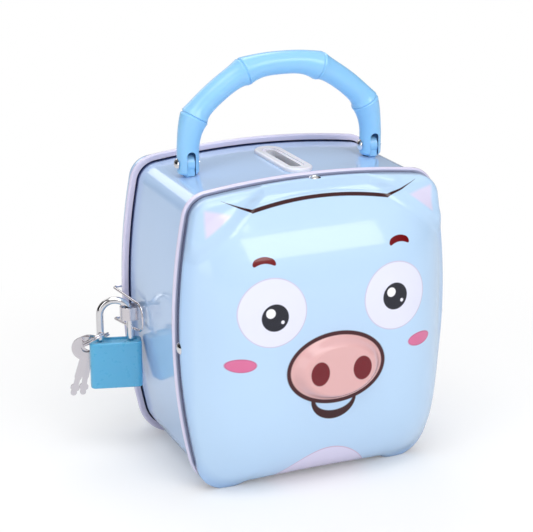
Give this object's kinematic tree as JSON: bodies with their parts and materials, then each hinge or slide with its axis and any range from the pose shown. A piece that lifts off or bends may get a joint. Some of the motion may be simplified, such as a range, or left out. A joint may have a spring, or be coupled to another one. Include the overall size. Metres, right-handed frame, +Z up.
{
  "type": "tin money box",
  "caption": "Rounded tin money box with a pressed animal face, coin slot, folding carry handle and padlocked back lid.",
  "frame": {"origin": "on the floor, under the middle of the whole part's box, with the padlock and keys at rest", "axes": "+X to the right seen from the face, +Y from the face towards the back lid, +Z up"},
  "size_m": [0.1492, 0.1003, 0.1699],
  "materials": {
    "blue_tin": "gloss lacquer with printed face",
    "blue_plastic": "satin moulded",
    "white_plastic": "gloss moulded",
    "lock_plastic": "gloss moulded",
    "chrome": "polished",
    "plated_steel": "bright nickel plate",
    "brass": "satin machined"
  },
  "bodies": {
    "box": {"body_tube": "blue_tin", "front_plate": "blue_tin", "front_rivets": "chrome", "slot_bezel": "white_plastic", "handle_lugs": "blue_plastic", "hasp_staple": "plated_steel", "box_hinge_leaf": "plated_steel", "box_hinge_rivets": "plated_steel", "hinge_pin": "plated_steel"},
    "handle": {"handle_bow": "blue_plastic", "handle_pins": "chrome"},
    "lid": {"back_lid": "blue_tin", "lid_hinge_leaf": "plated_steel", "lid_hinge_rivets": "plated_steel"},
    "bail": {"wire_bail": "plated_steel"},
    "shackle": {"padlock_shackle": "chrome"},
    "lock_case": {"padlock_jacket": "lock_plastic", "padlock_block": "brass"},
    "lock_plug": {"padlock_plug": "brass"},
    "lock_bolt": {"padlock_bolt": "plated_steel"},
    "ring": {"key_ring": "plated_steel"},
    "first_key": {"key_1": "plated_steel"},
    "second_key": {"key_2": "plated_steel"}
  },
  "joints": [
    {"name": "handle_swing", "type": "hinge", "parent": "box", "child": "handle", "pos_m": [0.01081, 0.00824, 0.1276], "axis": [1, 0, 0], "range_deg": [-75, 75]},
    {"name": "lid_swing", "type": "hinge", "parent": "box", "child": "lid", "pos_m": [0.07301, 0.03764, 0.0674], "axis": [0, 0, -1], "range_deg": [0, 110]},
    {"name": "bail_swing", "type": "hinge", "parent": "lid", "child": "bail", "pos_m": [-0.04689, 0.04484, 0.0596], "axis": [0, 0, -1], "range_deg": [0, 150], "deforming": ["wire_bail"]},
    {"name": "padlock_swing", "type": "hinge", "parent": "box", "child": "shackle", "pos_m": [-0.05109, 0.02264, 0.0608], "axis": [0, 0, 1], "range_deg": [-35, 35]},
    {"name": "case_drop", "type": "slide", "parent": "shackle", "child": "lock_case", "axis": [0, 0, -1], "range_m": [0, 0.004]},
    {"name": "plug_turn", "type": "hinge", "parent": "lock_case", "child": "lock_plug", "pos_m": [-0.05708, 0.02424, 0.04], "axis": [0, 0, 1], "range_deg": [0, 90]},
    {"name": "bolt_slide", "type": "slide", "parent": "lock_case", "child": "lock_bolt", "axis": [-0.9659, 0.2588, 0], "range_m": [0, 0.0016]},
    {"name": "key_ring_lift", "type": "hinge", "parent": "shackle", "child": "ring", "pos_m": [-0.05978, 0.02497, 0.0533], "axis": [0.2588, 0.9659, 0], "range_deg": [0, 35]},
    {"name": "key_1_swing", "type": "hinge", "parent": "ring", "child": "first_key", "pos_m": [-0.06722, 0.03198, 0.0466], "axis": [0.2588, 0.9659, 0], "range_deg": [-25, 30]},
    {"name": "key_2_swing", "type": "hinge", "parent": "ring", "child": "second_key", "pos_m": [-0.06562, 0.03254, 0.047], "axis": [0.2588, 0.9659, 0], "range_deg": [0, 30]}
  ],
  "couplings": [
    {"joint": "plug_turn", "follows": "case_drop", "rad_per_m": 392.5},
    {"joint": "bolt_slide", "follows": "case_drop", "ratio": 0.375}
  ]
}
